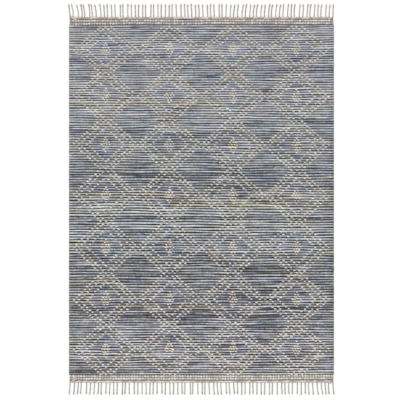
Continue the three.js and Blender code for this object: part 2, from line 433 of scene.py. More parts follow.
def raise_loops():
    """The loops of the three outlines and of the lozenges, each kind in one piece."""
    wobble = make_wobble(LOOP_SEED)
    kinds = {"outer": [], "middle": [], "inner": [], "lozenge": []}
    edge = DIAMOND_COLUMNS * DIAMOND_WARPS / 2
    centres = [(n + 0.5) * DIAMOND_WARPS - edge for n in range(DIAMOND_COLUMNS)]
    for rib in range(RIB_COUNT):
        spots = {(kind, centre + offset) for centre in centres for kind, offset in loops_on_rib(rib)}
        for kind, warp in sorted(spots):
            x = warp * WARP_PITCH + LOOP_SHIFT + LOOP_JITTER_X * wobble()
            y = place_on_rib(x, rib + 0.5 + LOOP_SAG) + LOOP_JITTER_Y * wobble()
            size = 1 + LOOP_SIZE_JITTER * wobble()
            if kind == "lozenge":
                size *= SMALL_LOOP
            turn = math.radians(LOOP_TURN + LOOP_TURN_JITTER * wobble())
            lowered = 1 - LOOP_HEIGHT_JITTER * (1 - wobble())
            height = (LOOP_TOP - LOOP_FOOT) / (LOOP_REACH + LOOP_YARN) * lowered
            fatness = LOOP_FATNESS + LOOP_FATNESS_JITTER * wobble()
            matrix = (
                Matrix.Translation((x, y, LOOP_FOOT))
                @ Matrix.Rotation(turn, 4, "Z")
                @ Matrix.Diagonal((size, size * fatness, height, 1))
            )
            tone = 0.5 + LOOP_TONE_JITTER * wobble() + WHITER_BY * (rib / RIB_COUNT - WHITER_FROM)
            kinds[kind].append(Copy(matrix, tone, vary(LOOP_HUE, x, rib)))
    return {kind: repeat(f"{kind}_loops", loop_template(), copies) for kind, copies in kinds.items()}


# Twined ends

class TwinedRow(NamedTuple):
    """One twined row: its middle from the cloth, half its width, its turns, half the length and the slant
    of a turn, how light and warm its yarn is, and its share of the drift of the rows."""
    middle: float
    half_width: float
    turns: int
    half_turn: float
    slant: float
    tone: float
    warmth: float
    drifts: float


# From the cloth outwards. The outermost row is a smooth cord of long turns.
TWINED_ROWS = {
    "head": (
        TwinedRow(6.4 * MM, 5.0 * MM, 99, 6.1 * MM, 10, 0.50, -0.2, 1.0),
        TwinedRow(18.2 * MM, 4.4 * MM, 99, 6.1 * MM, -10, 0.64, 0.0, 0.5),
        TwinedRow(29.6 * MM, 4.1 * MM, 76, 13.0 * MM, 8, 0.24, 0.8, 0.0),
    ),
    "foot": (
        TwinedRow(7.0 * MM, 4.9 * MM, 99, 6.1 * MM, -10, 0.70, -0.5, 1.0),
        TwinedRow(18.0 * MM, 4.9 * MM, 99, 6.1 * MM, 10, 0.70, 0.0, 1.0),
        TwinedRow(30.5 * MM, 3.7 * MM, 76, 13.0 * MM, 8, 0.40, 0.0, 0.6),
    ),
}
# How far the rows drift away from the cloth, by place across the rug, in millimetres
TWINING_DRIFT = {
    "head": (
        (-600, -4), (-520, -4), (-490, -2.5), (-360, -2.5), (-330, -0.5), (-170, -0.5), (-150, -2),
        (-10, -2), (10, 0.5), (350, 0.5), (380, -1), (600, -0.5),
    ),
    "foot": ((-600, -1.5), (-500, 0), (-160, 0), (-100, -0.8), (0, 0), (340, 0), (390, -2), (600, -2.5)),
}
# Where the twining yarn is greyer, as a share
GREYER_TWINING = {
    "head": ((-420, 0), (-330, 0.4), (-150, 1), (0, 0.8), (120, 0.5), (220, 0)),
    "foot": ((-380, 0), (-200, 0.3), (300, 0.3), (400, 0)),
}
TWINING_SEEDS = {"head": 2203, "foot": 7919}
TURN_MIDDLE = 3.6 * MM     # height above the floor
TURN_HALF_HEIGHT = 3.4 * MM
TURN_JITTER_X = 0.6 * MM
TURN_JITTER_Y = 0.5 * MM
TURN_WIDTH_JITTER = 0.08
TURN_SLANT_JITTER = 5      # degrees
TURN_TONE_JITTER = 0.65
END_TURNS_DARKER = 0.8     # the turns at the selvedges are more tightly drawn


class Tail(NamedTuple):
    """The end of a twining yarn, tucked back slantwise over a corner of the band, in millimetres."""
    left: float
    from_cloth: float
    length: float
    slope: float


TAILS = {
    "head": (Tail(-594, 31, 30, -28), Tail(-590, 24, 32, -24), Tail(572, 28, 24, 30)),
    "foot": (Tail(-592, 12, 34, 32), Tail(-590, 22, 28, 26), Tail(560, 30, 30, -30)),
}
TAIL_TONE = 0.35
STRAY_YARN = Tail(-112, 23.2, 76, 2.2)
STRAY_TONE = -0.75
STRAY_WARMTH = -0.3
CELL_SEGMENTS = 8
CELL_RINGS = 6
WEB_HEIGHT = 3.6 * MM      # the web of warp between the twined cells
WEB_INSET = 1.5 * MM
WEB_BEVEL = 1.2 * MM


class Section(NamedTuple):
    """The section of a tucked yarn: the height of its middle, and half its width and height."""
    middle: float
    half_width: float
    half_height: float


TAIL_SECTION = Section(5.6 * MM, 3.6 * MM, 2.6 * MM)
STRAY_SECTION = Section(5.4 * MM, 1.7 * MM, 1.7 * MM)


def cell_template():
    """One turn of a twining yarn over a warp, a plump bean."""
    bm = bmesh.new()
    bmesh.ops.create_uvsphere(bm, u_segments=CELL_SEGMENTS, v_segments=CELL_RINGS, radius=1)
    bmesh.ops.rotate(bm, verts=bm.verts[:], matrix=Matrix.Rotation(math.pi / 2, 3, "Y"))
    return finish_template(bm)


def lay_tail(tail, section, cloth_edge, side):
    """The place of a tucked yarn, as the matrix that stretches a cell over it."""
    half = tail.length * MM / 2
    middle = (tail.left * MM + half, cloth_edge + side * tail.from_cloth * MM, section.middle)
    return (
        Matrix.Translation(middle)
        @ Matrix.Rotation(math.radians(tail.slope), 4, "Z")
        @ Matrix.Diagonal((half, section.half_width, section.half_height, 1))
    )


def twine_end(end, side):
    """The three twined rows of one end, with the web that they lie on."""
    low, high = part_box(f"end_band_{end}")
    wobble = make_wobble(TWINING_SEEDS[end])
    cloth_edge = low.y if side > 0 else high.y
    copies = []
    for row in TWINED_ROWS[end]:
        pitch = (high.x - low.x) / row.turns
        for turn in range(row.turns):
            x = low.x + (turn + 0.5) * pitch + TURN_JITTER_X * wobble()
            x = max(low.x + row.half_turn, min(high.x - row.half_turn, x))
            drift_here = row.drifts * spread(TWINING_DRIFT[end], x)
            y = cloth_edge + side * (row.middle + drift_here) + TURN_JITTER_Y * wobble()
            half_width = row.half_width * (1 + TURN_WIDTH_JITTER * wobble())
            slant = math.radians(row.slant + TURN_SLANT_JITTER * wobble())
            matrix = (
                Matrix.Translation((x, y, TURN_MIDDLE))
                @ Matrix.Rotation(slant, 4, "Z")
                @ Matrix.Diagonal((row.half_turn, half_width, TURN_HALF_HEIGHT, 1))
            )
            warmth = row.warmth - spread(GREYER_TWINING[end], x) / MM
            tone = row.tone + TURN_TONE_JITTER * wobble()
            if turn in (0, row.turns - 1):
                tone -= END_TURNS_DARKER
            copies.append(Copy(matrix, tone, warmth))
    for tail in TAILS[end]:
        copies.append(Copy(lay_tail(tail, TAIL_SECTION, cloth_edge, side), TAIL_TONE))
    twining = repeat(f"twined_rows_{end}", cell_template(), copies)

    inset = Vector((WEB_INSET, 0, 0))
    web = slab(f"band_web_{end}", low + inset, Vector((high.x, high.y, WEB_HEIGHT)) - inset, WEB_BEVEL)
    return twining, web


def tuck_stray_yarn():
    """A length of weft tucked in between two twined rows of the head end."""
    matrix = lay_tail(STRAY_YARN, STRAY_SECTION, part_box("end_band_head")[0].y, 1)
    yarn = repeat("stray_weft", cell_template(), [Copy(matrix, STRAY_TONE, STRAY_WARMTH)])
    on_crest = yarn.data.attributes.new("rib", "FLOAT", "POINT")
    on_crest.data.foreach_set("value", [0.5] * len(yarn.data.vertices))
    return yarn


# Fringes

class Fringe(NamedTuple):
    """The cords of one end. Neighbours lean alike: leans pairs places across the rug with how far the tips
    lie to the right of the roots, in millimetres."""
    strands: int
    longest: float
    seed: int
    leans: tuple


FRINGES = {
    "head": Fringe(70, 58.5 * MM, 1207, (
        (-600, -8), (-540, -8), (-430, -5), (-370, -1.5), (-200, 0), (-60, -2.5),
        (70, -1), (140, 5), (260, 6), (400, 4), (600, 3),
    )),
    "foot": Fringe(67, 54.5 * MM, 4311, (
        (-600, -4), (-540, -6), (-450, -0.5), (-180, -0.5), (-130, -4), (-50, -4),
        (0, 0), (380, 0.5), (500, 3), (600, 5),
    )),
}
STRIP_LENGTH = 3 * MM
ROOT_IN_BAND = 4 * MM      # the cords start this far inside the band's outer row
FRINGE_UNEVENNESS = 4.5 * MM
OUTERMOST_ROOT = 595.2 * MM
OUTERMOST_TIP = 602.4 * MM
KNOT_PITCH = 8 * MM        # the least distance between two knots
KNOT_TO_TIP = 7 * MM
ROOT_JITTER = 3.4 * MM
LEAN_JITTER = 1.5 * MM
BOW = 1.0 * MM
CORD_RADIUS = 2.4 * MM
ROOT_FLARE = 0.3           # a cord is this much wider where its warps leave the band
FLARE_LENGTH = 4 * MM
ROOT_LENGTH = 8 * MM       # over which a cord is drawn into the band
CORD_SIDES = 8
CORD_STEPS = 36
CORD_TURNS = 4
CORD_FLOOR_GAP = 0.05 * MM
PLY_GROOVE = 0.30          # how far the groove between the two plies cuts in
KNOT_SWELL = 0.18          # how much wider a cord is inside its knot
KNOT_LIFT = 0.7 * MM
KNOT_SPREAD = 2.4 * MM     # along the cord, either way of the knot's middle
FRAY_LENGTH = 5 * MM
FRAY_SPREAD = 0.30         # how much wider a cord is at its frayed tip
FRAY_SINK = 0.9 * MM
FRAY_FLATTENING = 0.35
WRAPS = (-1, 1)            # the two turns of a knot, on either side of its middle
WRAP_FROM_MIDDLE = 1.0 * MM
WRAP_SLANT = 22            # degrees
WRAP_SLANT_JITTER = 8
WRAP_HEIGHT = 3.35 * MM    # of its middle above the floor
WRAP_RADIUS = 2.1 * MM
WRAP_YARN = 1.25 * MM      # radius
WRAP_YARN_SIDES = 6
WRAP_STEPS = 10


class Strand(NamedTuple):
    """Where a cord starts, leans and ends."""
    root: float
    tip: float
    bow: float
    length: float

    def x_at(self, share):
        """X of the cord's middle line, at a share of its length."""
        return self.root + (self.tip - self.root) * share**2 + self.bow * np.sin(np.pi * share)


def place_strands(fringe):
    """The strands of a fringe, from left to right as seen from the rug."""
    wobble = make_wobble(fringe.seed)
    spacing = 2 * OUTERMOST_ROOT / (fringe.strands - 1)
    strands = []
    leftmost = -OUTERMOST_TIP
    for n in range(fringe.strands):
        root = n * spacing - OUTERMOST_ROOT + ROOT_JITTER * wobble()
        root = max(-OUTERMOST_ROOT, min(OUTERMOST_ROOT, root))
        lean = float(np.interp(root / MM, *zip(*fringe.leans))) * MM + LEAN_JITTER * wobble()
        tip = max(leftmost, min(OUTERMOST_TIP, root + lean))
        bow = BOW * wobble()
        length = fringe.longest - FRINGE_UNEVENNESS / 2 * (1 + wobble())
        strands.append(Strand(root, tip, bow, length))
        leftmost = tip + KNOT_PITCH
    missing = fringe.longest - max(strand.length for strand in strands)
    return [strand._replace(length=strand.length + missing) for strand in strands]


def cord_template():
    """A straight two-ply cord of length 1 along Y and radius 1, closed at its ends."""
    bm = bmesh.new()
    bmesh.ops.create_circle(bm, segments=CORD_SIDES, radius=1, cap_ends=False)
    for vert in bm.verts:
        angle = math.atan2(vert.co.y, vert.co.x)
        vert.co *= 1 - PLY_GROOVE * math.sin(angle) ** 2
    bmesh.ops.rotate(bm, verts=bm.verts[:], matrix=Matrix.Rotation(math.pi / 2, 3, "X"))
    bmesh.ops.spin(
        bm, geom=bm.edges[:], cent=(0, 0, 0), axis=(0, 1, 0), dvec=(0, 1 / CORD_STEPS, 0),
        angle=CORD_TURNS * 2 * math.pi, steps=CORD_STEPS, use_merge=False,
    )
    bmesh.ops.holes_fill(bm, edges=[e for e in bm.edges if e.is_boundary], sides=0)
    return finish_template(bm)


def wrap_template():
    """One turn of a knot, a ring of yarn round the cord's axis, which is Y."""
    bm = bmesh.new()
    bmesh.ops.create_circle(bm, segments=WRAP_YARN_SIDES, radius=WRAP_YARN, cap_ends=False)
    bmesh.ops.translate(bm, verts=bm.verts[:], vec=(WRAP_RADIUS, 0, 0))
    bmesh.ops.spin(
        bm, geom=bm.edges[:], cent=(0, 0, 0), axis=(0, 1, 0), dvec=(0, 0, 0),
        angle=2 * math.pi, steps=WRAP_STEPS, use_merge=True,
    )
    bmesh.ops.remove_doubles(bm, verts=bm.verts[:], dist=0.01 * MM)
    return finish_template(bm)


def bend_cords(cords, strands):
    """Bends the straight copies of a joined fringe along their strands, and rests them on the floor."""
    count = len(cords.data.vertices)
    points = np.empty(count * 3)
    cords.data.vertices.foreach_get("co", points)
    points = points.reshape(len(strands), -1, 3)
    for strand, block in zip(strands, points):
        share = block[:, 1].copy()
        y = share * strand.length
        root_part = np.clip(1 - y / ROOT_LENGTH, 0, 1)
        from_tip = strand.length - y
        swell = np.exp(-((from_tip - KNOT_TO_TIP) / KNOT_SPREAD) ** 2)
        fray = np.clip(1 - from_tip / FRAY_LENGTH, 0, 1)
        flare = np.exp(-((y / FLARE_LENGTH) ** 2))
        radius = CORD_RADIUS * (1 + KNOT_SWELL * swell + FRAY_SPREAD * fray)
        lift = CORD_RADIUS + KNOT_LIFT * swell - FRAY_SINK * fray
        flat = 1 - FRAY_FLATTENING * fray
        block[:, 0] = strand.x_at(share) + block[:, 0] * radius * (1 + ROOT_FLARE * flare)
        block[:, 1] = y + STRIP_LENGTH * 0.5 - root_part * (STRIP_LENGTH * 0.5 + ROOT_IN_BAND)
        block[:, 2] = np.maximum(lift + block[:, 2] * radius * flat, CORD_FLOOR_GAP)
    cords.data.vertices.foreach_set("co", points.ravel())
    cords.data.update()


def knot_fringe(end):
    """The cords of one end and their knots. The foot fringe is turned half round, as its solid is."""
    fringe = FRINGES[end]
    strands = place_strands(fringe)
    wobble = make_wobble(fringe.seed + 1)
    cords = repeat(
        f"fringe_cords_{end}", cord_template(),
        [Copy(Matrix.Identity(4), 0.5 + 0.5 * wobble()) for _ in strands],
    )
    bend_cords(cords, strands)
    wraps = []
    for strand in strands:
        share = 1 - KNOT_TO_TIP / strand.length
        tone = 0.5 + 0.5 * wobble()
        for side in WRAPS:
            y = share * strand.length + STRIP_LENGTH * 0.5 + side * WRAP_FROM_MIDDLE
            slant = math.radians(WRAP_SLANT * side + WRAP_SLANT_JITTER * wobble())
            matrix = (
                Matrix.Translation((strand.x_at(share), y, WRAP_HEIGHT))
                @ Matrix.Rotation(slant, 4, "Z")
            )
            wraps.append(Copy(matrix, tone))
    knots = repeat(f"fringe_knots_{end}", wrap_template(), wraps)
    low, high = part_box(f"fringe_{end}")
    turn = Matrix.Identity(4) if end == "head" else Matrix.Rotation(math.pi, 4, "Z")
    start = low.y if end == "head" else -high.y
    for piece in (cords, knots):
        piece.data.transform(turn @ Matrix.Translation((0, start, 0)))
        piece.data.update()
    return cords, knots


# Materials

class Lot(NamedTuple):
    """Weft from one lot of yarn: the rib it ends before, and how much lighter and warmer it is."""
    until: int
    tone: float
    warmth: float


# The lots follow each other from the head end to the foot end
LOTS = (
    Lot(9, 0.05, 0.0),
    Lot(12, 0.1, -0.08),
    Lot(24, 0.04, -0.02),
    Lot(45, 0.07, 0.0),
    Lot(48, -0.08, 0.0),
    Lot(60, -0.02, 0.01),
    Lot(68, -0.06, 0.0),
    Lot(74, -0.03, 0.1),
    Lot(78, 0.07, 0.05),
    Lot(84, 0.07, 0.0),
    Lot(93, 0.0, -0.03),
    Lot(102, -0.1, 0.06),
    Lot(120, -0.08, 0.05),
    Lot(129, 0.03, 0.02),
    Lot(141, 0.02, 0.1),
)


class Joint(NamedTuple):
    """A length of odd yarn joined in: its ribs, its ends across the rug in millimetres, its shade."""
    first: int
    until: int
    left: float
    right: float
    tone: float
    warmth: float


JOINTS = (
    # The first three rows run along the selvedges. The left one is undyed yarn, lighter and warmer. The
    # right one is darker along its whole length, partly darker yarn and partly painted shade on the side
    # away from the lamp.
    Joint(0, 9, -615, -588, 0.16, 0.35),
    Joint(9, 141, -615, -592, 0.03, 0.25),
    Joint(0, 141, 592, 615, -0.10, 0.10),
    # This row is no odd yarn: it darkens the whole first rib, beside the head band, as painted shade
    Joint(0, 1, -620, 620, -0.14, 0.0),
    Joint(0, 2, -312, -282, -0.45, 0.1),
    Joint(14, 15, 200, 320, -0.20, 0.0),
    Joint(17, 18, -190, 10, -0.20, 0.0),
    Joint(18, 21, 240, 600, -0.15, 0.0),
    Joint(22, 23, 10, 75, -0.35, 0.0),
    Joint(33, 35, -600, 60, 0.0, 0.45),
    Joint(36, 37, 280, 600, 0.0, 0.35),
    Joint(40, 43, 200, 600, -0.15, -0.1),
    Joint(45, 46, -600, -200, -0.15, 0.0),
    Joint(61, 62, 200, 400, -0.18, 0.0),
    Joint(62, 63, -600, 120, -0.22, 0.1),
    Joint(63, 64, -300, -160, -0.25, 0.1),
    Joint(64, 65, -120, 60, -0.20, 0.1),
    Joint(70, 71, -600, -60, 0.02, 0.45),
    Joint(73, 75, -140, 320, 0.0, 0.95),
    Joint(73, 74, 320, 600, 0.02, 1.1),
    Joint(75, 77, -320, -60, 0.12, 0.0),
    Joint(79, 80, -450, 600, -0.22, 0.0),
    Joint(80, 81, 380, 600, 0.0, 0.5),
    Joint(98, 101, 180, 420, -0.15, 0.0),
    Joint(103, 105, -600, -340, 0.0, 0.5),
    Joint(113, 115, -400, 60, 0.0, 0.3),
    Joint(113, 116, -600, -420, -0.14, 0.0),
    Joint(114, 115, 260, 600, -0.30, 0.0),
    Joint(117, 118, -400, 400, -0.22, 0.0),
    Joint(120, 123, 230, 380, -0.10, 0.0),
    Joint(139, 141, -600, -430, -0.32, 0.10),
    Joint(140, 141, 60, 600, 0.18, 0.2),
)
JOINT_FADE = 25            # millimetres over which a joined length fades in


def yarn_shade(rib, x):
    """How much lighter and warmer the weft is than the average, on a rib at a place across the rug."""
    lot = next(lot for lot in LOTS if rib < lot.until)
    tone, warmth = lot.tone, lot.warmth
    for joint in JOINTS:
        if joint.first <= rib < joint.until:
            inside = min(x / MM - joint.left, joint.right - x / MM) / JOINT_FADE
            share = max(0.0, min(1.0, inside + 0.5))
            tone += joint.tone * share
            warmth += joint.warmth * share
    return tone, warmth


class Belt(NamedTuple):
    """Warmer ground along the lattice, in warps and ribs from a diamond's centre. It is at its warmest up
    to full from its middle, and has faded out at faded."""
    middle: float
    full: float
    faded: float
    warmth: float


LATTICE_BELT = Belt(middle=10.3, full=2.3, faded=4.1, warmth=0.22)
LOZENGE_GROUND = Belt(middle=0.0, full=1.2, faded=2.6, warmth=0.55)

# The weft's shades, from its darkest yarn to its lightest, in mixed blues and in greys and khakis
SHADE_STOPS = (0.10, 0.32, 0.50, 0.68, 0.90)
BLUES = ("#3e424f", "#677086", "#919ab1", "#b3bac9", "#d5d8e1")
KHAKIS = ("#524c47", "#7d756c", "#a39b90", "#c1bbaf", "#dcd8cf")
CREASE_YARN_AND_SHADE_BLUE = "#171e39"      # in the creases: dark yarn and painted shade
CREASE_YARN_AND_SHADE_KHAKI = "#30281b"
STRAW_TINT = (1.02, 1.0, 0.88, 1.0)
LILAC_TINT = (1.05, 0.97, 1.06, 1.0)
GREEN_TINT = (0.93, 1.05, 0.94, 1.0)
STRAW_FROM = 0.6           # warmth above which a yarn turns straw-coloured
STRAW_FULL = 1.4
MEAN_TONE = 0.579
LOT_SHARE = 0.72           # how much of a lot's own lightness shows
MEAN_WARMTH = 0.430
HEAD_CONTRAST = 0.84       # how much the shades differ at the head end, beside the average
FOOT_CONTRAST = 1.28
CONTRAST_RIBS = 0.85       # share of the ribs over which that grows
HEAD_CREASE = 0.88         # how dark the creases are at the head end, beside the others
CREASE_RIBS = 0.6          # share of the ribs over which that grows
CREASE_FROM = 0.18         # from the crest, as a share of the rib
CREASE_TO = 0.39
CREASE_UNEVENNESS = 0.50
CREASE_LENGTH = 80 * MM    # before a crease grows wider or narrower
GREENER_RIBS = (20, 50)    # from the middle rib, between which the yarn turns from greener to more lilac
GREENER_BY = 0.035
GREEN_LENGTH = 55 * MM
YARN_PATCHES = 1.15        # how much the warmth differs from yarn to yarn
YARN_PATCH_LENGTH = 60 * MM
RIB_PATCHES = 1.20         # and from one group of ribs to the next
RIB_PATCH_LENGTH = 100 * MM
RIB_PATCH_STEP = 0.4       # how soon it differs, for each rib
STREAK_LENGTH = 120 * MM   # along the weft, before a yarn changes shade
RIB_STREAK_LENGTH = 192 * MM
FLECK_LENGTH = 20 * MM
SLUB_LENGTH = 10 * MM
FIBRE_LENGTH = 5 * MM
FIBRES_IN_RIB = 24
PLY_PITCH = 6 * MM
PLY_RELIEF = 0.22          # beside the roundness of a yarn
FIBRE_RELIEF = 0.5
YARNS_IN_RIB = 3
YARN_WANDER = 0.5          # of a rib
YARN_WANDER_LENGTH = 60 * MM
# Neighbouring yarns, ribs and creases read the noise so far apart that they are unlike
YARN_STEP = 7.31
RIB_STEP = 5.17
CREASE_STEP = 3.77


def weft_material():
    """Heathered denim weft: recycled cotton yarn in mixed blues and greys, matt and a little fuzzy. Each rib
    shows long streaks where one yarn lies on another, and a crease beside it, dark yarn with painted shade."""
    material, tree = start_material("heathered_denim_weft")
    rib = add_node(tree, "ShaderNodeAttribute", {"attribute_name": "rib"}).outputs["Fac"]
    tone = add_node(tree, "ShaderNodeAttribute", {"attribute_name": "tone"}).outputs["Fac"]
    warm = add_node(tree, "ShaderNodeAttribute", {"attribute_name": "warmth"}).outputs["Fac"]
    place = add_node(tree, "ShaderNodeTexCoord").outputs["Object"]
    x = add_node(tree, "ShaderNodeSeparateXYZ", {}, {0: place}).outputs["X"]

    def streaks(length, row, seed, detail):
        """Unevenness along the weft, from 0 to 1, for each row."""
        along = add_node(tree, "ShaderNodeMath", {"operation": "DIVIDE"}, {0: x, 1: length}).outputs[0]
        spot = add_node(tree, "ShaderNodeCombineXYZ", {}, {0: along, 1: row, 2: seed}).outputs[0]
        return add_node(tree, "ShaderNodeTexNoise", {"noise_dimensions": "3D"}, {
            "Vector": spot, "Scale": 1.0, "Detail": detail, "Roughness": 0.55,
        }).outputs[0]

    # The yarns lie side by side in a rib and wander a little
    wander = streaks(YARN_WANDER_LENGTH, rib, seed=2.0, detail=1.0)
    wandered = add_node(tree, "ShaderNodeMath", {"operation": "MULTIPLY_ADD"}, {
        0: wander, 1: YARN_WANDER, 2: rib,
    }).outputs[0]
    yarns = add_node(tree, "ShaderNodeMath", {"operation": "MULTIPLY_ADD"}, {
        0: wandered, 1: YARNS_IN_RIB, 2: -YARNS_IN_RIB * YARN_WANDER / 2,
    }).outputs[0]
    yarn = add_node(tree, "ShaderNodeMath", {"operation": "FLOOR"}, {0: yarns}).outputs[0]
    yarn_row = add_node(tree, "ShaderNodeMath", {"operation": "MULTIPLY"}, {
        0: yarn, 1: YARN_STEP,
    }).outputs[0]
    whole_rib = add_node(tree, "ShaderNodeMath", {"operation": "FLOOR"}, {0: rib}).outputs[0]
    rib_row = add_node(tree, "ShaderNodeMath", {"operation": "MULTIPLY"}, {
        0: whole_rib, 1: RIB_STEP,
    }).outputs[0]
    fibre_row = add_node(tree, "ShaderNodeMath", {"operation": "MULTIPLY"}, {
        0: rib, 1: FIBRES_IN_RIB,
    }).outputs[0]
    fleck = streaks(FLECK_LENGTH, yarn_row, seed=23.0, detail=3.0)
    fibre = streaks(FIBRE_LENGTH, fibre_row, seed=71.0, detail=2.0)

    # Lightness of the yarn at each point, around its mean
    parts = (
        (streaks(STREAK_LENGTH, yarn_row, seed=11.0, detail=2.0), 0.72),
        (streaks(RIB_STREAK_LENGTH, rib_row, seed=31.0, detail=2.0), 0.80),
        (streaks(SLUB_LENGTH, rib_row, seed=53.0, detail=1.0), 0.34),
        (fleck, 0.60),
        (fibre, 0.90),
    )
    unevenness = -sum(weight for _, weight in parts) / 2
    for part, weight in (*parts, (tone, LOT_SHARE)):
        unevenness = add_node(tree, "ShaderNodeMath", {"operation": "MULTIPLY_ADD"}, {
            0: part, 1: weight, 2: unevenness,
        }).outputs[0]
    contrast = add_node(tree, "ShaderNodeMapRange", {}, {
        0: rib, 1: 0, 2: RIB_COUNT * CONTRAST_RIBS, 3: HEAD_CONTRAST, 4: FOOT_CONTRAST,
    }).outputs[0]
    lightness = add_node(tree, "ShaderNodeMath", {"operation": "MULTIPLY_ADD"}, {
        0: unevenness, 1: contrast, 2: MEAN_TONE,
    }).outputs[0]
    blues, khakis = (
        add_node(tree, "ShaderNodeValToRGB", {}, {0: lightness}, stops=[
            (stop, linear(shade)) for stop, shade in zip(SHADE_STOPS, shades)
        ]).outputs[0]
        for shades in (BLUES, KHAKIS)
    )

    # Warmth of the yarn: the ground between the loops is greyer than the plain ground
    warps = add_node(tree, "ShaderNodeMath", {"operation": "DIVIDE"}, {0: x, 1: WARP_PITCH}).outputs[0]
    across = add_node(tree, "ShaderNodeMath", {"operation": "PINGPONG"}, {
        0: warps, 1: DIAMOND_WARPS / 2,
    }).outputs[0]
    crests = add_node(tree, "ShaderNodeMath", {"operation": "SUBTRACT"}, {0: rib, 1: 0.5}).outputs[0]
    along = add_node(tree, "ShaderNodeMath", {"operation": "PINGPONG"}, {
        0: crests, 1: DIAMOND_RIBS / 2,
    }).outputs[0]
    from_corner = add_node(tree, "ShaderNodeMath", {"operation": "ADD"}, {0: across, 1: along}).outputs[0]
    from_centre = add_node(tree, "ShaderNodeMath", {"operation": "SUBTRACT"}, {
        0: DIAMOND_WARPS / 2 + DIAMOND_RIBS / 2, 1: from_corner,
    }).outputs[0]
    rib_group = add_node(tree, "ShaderNodeMath", {"operation": "MULTIPLY"}, {
        0: rib, 1: RIB_PATCH_STEP,
    }).outputs[0]
    parts = [
        (warm, 1.0),
        (streaks(YARN_PATCH_LENGTH, yarn_row, seed=47.0, detail=2.0), YARN_PATCHES),
        (streaks(RIB_PATCH_LENGTH, rib_group, seed=83.0, detail=2.0), RIB_PATCHES),
    ]
    for belt in (LATTICE_BELT, LOZENGE_GROUND):
        from_belt = add_node(tree, "ShaderNodeMath", {"operation": "SUBTRACT"}, {
            0: from_centre, 1: belt.middle,
        }).outputs[0]
        from_belt = add_node(tree, "ShaderNodeMath", {"operation": "ABSOLUTE"}, {0: from_belt}).outputs[0]
        warmer = add_node(tree, "ShaderNodeMapRange", {"interpolation_type": "SMOOTHSTEP"}, {
            0: from_belt, 1: belt.faded, 2: belt.full, 3: 0.0, 4: belt.warmth,
        }).outputs[0]
        parts.append((warmer, 1.0))
    warmth = MEAN_WARMTH - (YARN_PATCHES + RIB_PATCHES) / 2
    for part, weight in parts:
        warmth = add_node(tree, "ShaderNodeMath", {"operation": "MULTIPLY_ADD"}, {
            0: part, 1: weight, 2: warmth,
        }).outputs[0]
    warmth = add_node(tree, "ShaderNodeClamp", {}, {0: warmth}).outputs[0]
    yarn_colour = add_node(tree, "ShaderNodeMix", {"data_type": "RGBA"}, {
        0: warmth, 6: blues, 7: khakis,
    }).outputs[2]

    # The crease between two ribs: dark yarn lying deep, darkened further by painted shade
    within_rib = add_node(tree, "ShaderNodeMath", {"operation": "FRACT"}, {0: rib}).outputs[0]
    from_crest = add_node(tree, "ShaderNodeMath", {"operation": "SUBTRACT"}, {
        0: within_rib, 1: 0.5,
    }).outputs[0]
    from_crest = add_node(tree, "ShaderNodeMath", {"operation": "ABSOLUTE"}, {0: from_crest}).outputs[0]
    nearest = add_node(tree, "ShaderNodeMath", {"operation": "ROUND"}, {0: rib}).outputs[0]
    crease_row = add_node(tree, "ShaderNodeMath", {"operation": "MULTIPLY"}, {
        0: nearest, 1: CREASE_STEP,
    }).outputs[0]
    wider = streaks(CREASE_LENGTH, crease_row, seed=61.0, detail=3.0)
    uneven = add_node(tree, "ShaderNodeMath", {"operation": "MULTIPLY_ADD"}, {
        0: wider, 1: CREASE_UNEVENNESS, 2: from_crest,
    }).outputs[0]
    crease = add_node(tree, "ShaderNodeMapRange", {"interpolation_type": "SMOOTHSTEP"}, {
        0: uneven, 1: CREASE_FROM + CREASE_UNEVENNESS / 2, 2: CREASE_TO + CREASE_UNEVENNESS / 2,
    }).outputs[0]
    darkness = add_node(tree, "ShaderNodeMapRange", {}, {
        0: rib, 1: 0, 2: RIB_COUNT * CREASE_RIBS, 3: HEAD_CREASE, 4: 1.0,
    }).outputs[0]
    crease = add_node(tree, "ShaderNodeMath", {"operation": "MULTIPLY"}, {0: crease, 1: darkness}).outputs[0]
    crease_yarn_and_shade = add_node(tree, "ShaderNodeMix", {"data_type": "RGBA"}, {
        0: warmth, 6: linear(CREASE_YARN_AND_SHADE_BLUE), 7: linear(CREASE_YARN_AND_SHADE_KHAKI),
    }).outputs[2]
    # Painted shade: the crease colour goes over the yarn colour, partly dark yarn and partly shade
    colour = add_node(tree, "ShaderNodeMix", {"data_type": "RGBA"}, {
        0: crease, 6: yarn_colour, 7: crease_yarn_and_shade,
    }).outputs[2]

    # The oddest joined lengths are straw-coloured
    straw = add_node(tree, "ShaderNodeMapRange", {}, {0: warm, 1: STRAW_FROM, 2: STRAW_FULL}).outputs[0]
    colour = add_node(tree, "ShaderNodeMix", {"data_type": "RGBA", "blend_type": "MULTIPLY"}, {
        0: straw, 6: colour, 7: STRAW_TINT,
    }).outputs[2]

    # Some yarn is a little lilac, more so near the ends, and some a little green
    from_middle = add_node(tree, "ShaderNodeMath", {"operation": "SUBTRACT"}, {
        0: rib, 1: RIB_COUNT / 2,
    }).outputs[0]
    from_middle = add_node(tree, "ShaderNodeMath", {"operation": "ABSOLUTE"}, {0: from_middle}).outputs[0]
    shift = add_node(tree, "ShaderNodeMapRange", {}, {
        0: from_middle, 1: GREENER_RIBS[0], 2: GREENER_RIBS[1], 3: GREENER_BY, 4: -GREENER_BY,
    }).outputs[0]
    greenness = streaks(GREEN_LENGTH, yarn_row, seed=97.0, detail=2.0)
    greenness = add_node(tree, "ShaderNodeMath", {"operation": "ADD"}, {0: greenness, 1: shift}).outputs[0]
    tint = add_node(tree, "ShaderNodeValToRGB", {}, {0: greenness}, stops=[
        (0.25, LILAC_TINT), (0.75, GREEN_TINT),
    ]).outputs[0]
    colour = add_node(tree, "ShaderNodeMix", {"data_type": "RGBA", "blend_type": "MULTIPLY"}, {
        0: 1.0, 6: colour, 7: tint,
    }).outputs[2]

